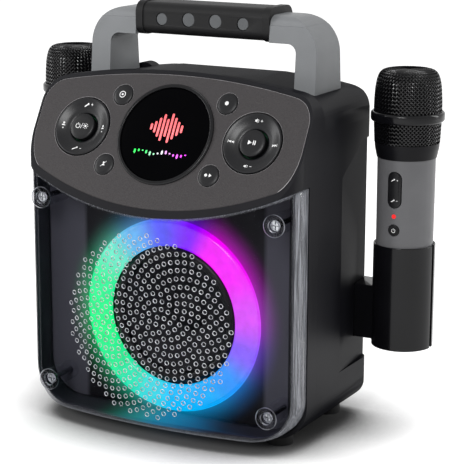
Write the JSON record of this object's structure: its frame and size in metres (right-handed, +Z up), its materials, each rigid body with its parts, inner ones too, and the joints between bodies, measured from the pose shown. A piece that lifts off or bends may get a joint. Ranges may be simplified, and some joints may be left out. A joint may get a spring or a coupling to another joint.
{
  "type": "karaoke machine",
  "caption": "Portable karaoke speaker: carry handle, tilted round-display panel with rocking pads, lit woofer behind a clear cover, and handheld microphones in side holders.",
  "frame": {"origin": "on the floor plane under the middle of the whole object's box", "axes": "+X to the right seen from the front, -Y out of the front, +Z up"},
  "size_m": [0.3502, 0.1652, 0.319],
  "materials": {
    "body_black": "satin",
    "body_grey": "satin",
    "inner_black": "satin",
    "clear_cover": "glossy",
    "screw_steel": "satin",
    "ring_lens": "frosted",
    "board_green": "satin",
    "basket_black": "satin",
    "magnet_steel": "matt",
    "rubber_black": "matt",
    "cone_black": "matt",
    "plate_grey": "fine texture",
    "gloss_black": "glossy",
    "display_black": "glossy",
    "module_grey": "matt",
    "button_black": "satin",
    "frame_grey": "matt",
    "battery_wrap": "satin",
    "jack_metal": "satin",
    "handle_grey": "satin",
    "stud_grey": "satin",
    "dark_screw": "satin",
    "mic_grey": "satin",
    "grille_black": "satin",
    "capsule_brass": "satin",
    "lamp_red": "clear"
  },
  "bodies": {
    "cabinet": {"front_housing": "body_black", "rear_housing": "body_grey", "baffle": "inner_black", "front_cover": "clear_cover", "cover_screws": "screw_steel", "light_ring_lens": "ring_lens", "light_ring_board": "board_green", "speaker_basket": "basket_black", "speaker_magnet": "magnet_steel", "speaker_surround": "rubber_black", "speaker_screws": "screw_steel", "control_plate": "plate_grey", "display_trim": "gloss_black", "display_lens": "display_black", "display_module": "module_grey", "control_board": "board_green", "main_board": "board_green", "battery_pack": "battery_wrap", "jack_plate": "inner_black", "power_inlet": "jack_metal", "audio_jack": "jack_metal", "handle": "handle_grey", "handle_grip": "rubber_black", "grip_studs": "stud_grey", "housing_screws": "dark_screw", "feet": "rubber_black", "holder_left": "gloss_black", "holder_right": "gloss_black"},
    "cone": {"speaker_cone": "cone_black"},
    "button_upper_left": {"button_upper_left": "button_black"},
    "button_lower_left": {"button_lower_left": "button_black"},
    "button_upper_right": {"button_upper_right": "button_black"},
    "button_lower_right": {"button_lower_right": "button_black"},
    "button_centre_left": {"button_centre_left": "button_black"},
    "pad_frame_left": {"pad_frame_left": "frame_grey"},
    "pad_left": {"pad_left": "gloss_black"},
    "button_centre_right": {"button_centre_right": "button_black"},
    "pad_frame_right": {"pad_frame_right": "frame_grey"},
    "pad_right": {"pad_right": "gloss_black"},
    "mic_left": {"mic_left_tube": "mic_grey", "mic_left_collar": "button_black", "mic_left_ring": "gloss_black", "mic_left_grille": "grille_black", "mic_left_capsule": "capsule_brass", "mic_left_board": "board_green", "mic_left_end": "button_black", "mic_left_lamp": "lamp_red"},
    "mic_left_rocker": {"mic_left_rocker": "button_black"},
    "mic_left_power": {"mic_left_power": "button_black"},
    "mic_right": {"mic_right_tube": "mic_grey", "mic_right_collar": "button_black", "mic_right_ring": "gloss_black", "mic_right_grille": "grille_black", "mic_right_capsule": "capsule_brass", "mic_right_board": "board_green", "mic_right_end": "button_black", "mic_right_lamp": "lamp_red"},
    "mic_right_rocker": {"mic_right_rocker": "button_black"},
    "mic_right_power": {"mic_right_power": "button_black"}
  },
  "joints": [
    {"name": "cone_stroke", "type": "slide", "parent": "cabinet", "child": "cone", "axis": [0, -1, 0], "range_m": [-0.002, 0.002], "stiffness_N_per_m": 1500},
    {"name": "upper_left_press", "type": "slide", "parent": "cabinet", "child": "button_upper_left", "axis": [0, 0.866, -0.5], "range_m": [0, 0.001], "stiffness_N_per_m": 300},
    {"name": "lower_left_press", "type": "slide", "parent": "cabinet", "child": "button_lower_left", "axis": [0, 0.866, -0.5], "range_m": [0, 0.001], "stiffness_N_per_m": 300},
    {"name": "upper_right_press", "type": "slide", "parent": "cabinet", "child": "button_upper_right", "axis": [0, 0.866, -0.5], "range_m": [0, 0.001], "stiffness_N_per_m": 300},
    {"name": "lower_right_press", "type": "slide", "parent": "cabinet", "child": "button_lower_right", "axis": [0, 0.866, -0.5], "range_m": [0, 0.001], "stiffness_N_per_m": 300},
    {"name": "centre_left_press", "type": "slide", "parent": "cabinet", "child": "button_centre_left", "axis": [0, 0.866, -0.5], "range_m": [0, 0.001], "stiffness_N_per_m": 300},
    {"name": "pad_left_side_rock", "type": "hinge", "parent": "cabinet", "child": "pad_frame_left", "pos_m": [-0.0724, -0.04269, 0.2239], "axis": [0, 0.5, 0.866], "range_deg": [-2.2, 2.2], "stiffness_Nm_per_rad": 1},
    {"name": "pad_left_up_down_rock", "type": "hinge", "parent": "pad_frame_left", "child": "pad_left", "pos_m": [-0.0724, -0.04572, 0.22565], "axis": [1, 0, 0], "range_deg": [-2.2, 2.2], "stiffness_Nm_per_rad": 1},
    {"name": "centre_right_press", "type": "slide", "parent": "cabinet", "child": "button_centre_right", "axis": [0, 0.866, -0.5], "range_m": [0, 0.001], "stiffness_N_per_m": 300},
    {"name": "pad_right_side_rock", "type": "hinge", "parent": "cabinet", "child": "pad_frame_right", "pos_m": [0.0724, -0.04269, 0.2239], "axis": [0, 0.5, 0.866], "range_deg": [-2.2, 2.2], "stiffness_Nm_per_rad": 1},
    {"name": "pad_right_up_down_rock", "type": "hinge", "parent": "pad_frame_right", "child": "pad_right", "pos_m": [0.0724, -0.04572, 0.22565], "axis": [1, 0, 0], "range_deg": [-2.2, 2.2], "stiffness_Nm_per_rad": 1},
    {"name": "mic_left_lift", "type": "slide", "parent": "cabinet", "child": "mic_left", "axis": [0, 0, 1], "range_m": [0, 0.08]},
    {"name": "mic_left_level_rock", "type": "hinge", "parent": "mic_left", "child": "mic_left_rocker", "pos_m": [-0.1475, 0.03799, 0.1865], "axis": [1, 0, 0], "range_deg": [-3, 3], "stiffness_Nm_per_rad": 0.3},
    {"name": "mic_left_power_press", "type": "slide", "parent": "mic_left", "child": "mic_left_power", "axis": [0, 1, 0], "range_m": [0, 0.0008], "stiffness_N_per_m": 300},
    {"name": "mic_right_lift", "type": "slide", "parent": "cabinet", "child": "mic_right", "axis": [0, 0, 1], "range_m": [0, 0.08]},
    {"name": "mic_right_level_rock", "type": "hinge", "parent": "mic_right", "child": "mic_right_rocker", "pos_m": [0.1475, 0.03799, 0.1865], "axis": [1, 0, 0], "range_deg": [-3, 3], "stiffness_Nm_per_rad": 0.3},
    {"name": "mic_right_power_press", "type": "slide", "parent": "mic_right", "child": "mic_right_power", "axis": [0, 1, 0], "range_m": [0, 0.0008], "stiffness_N_per_m": 300}
  ]
}
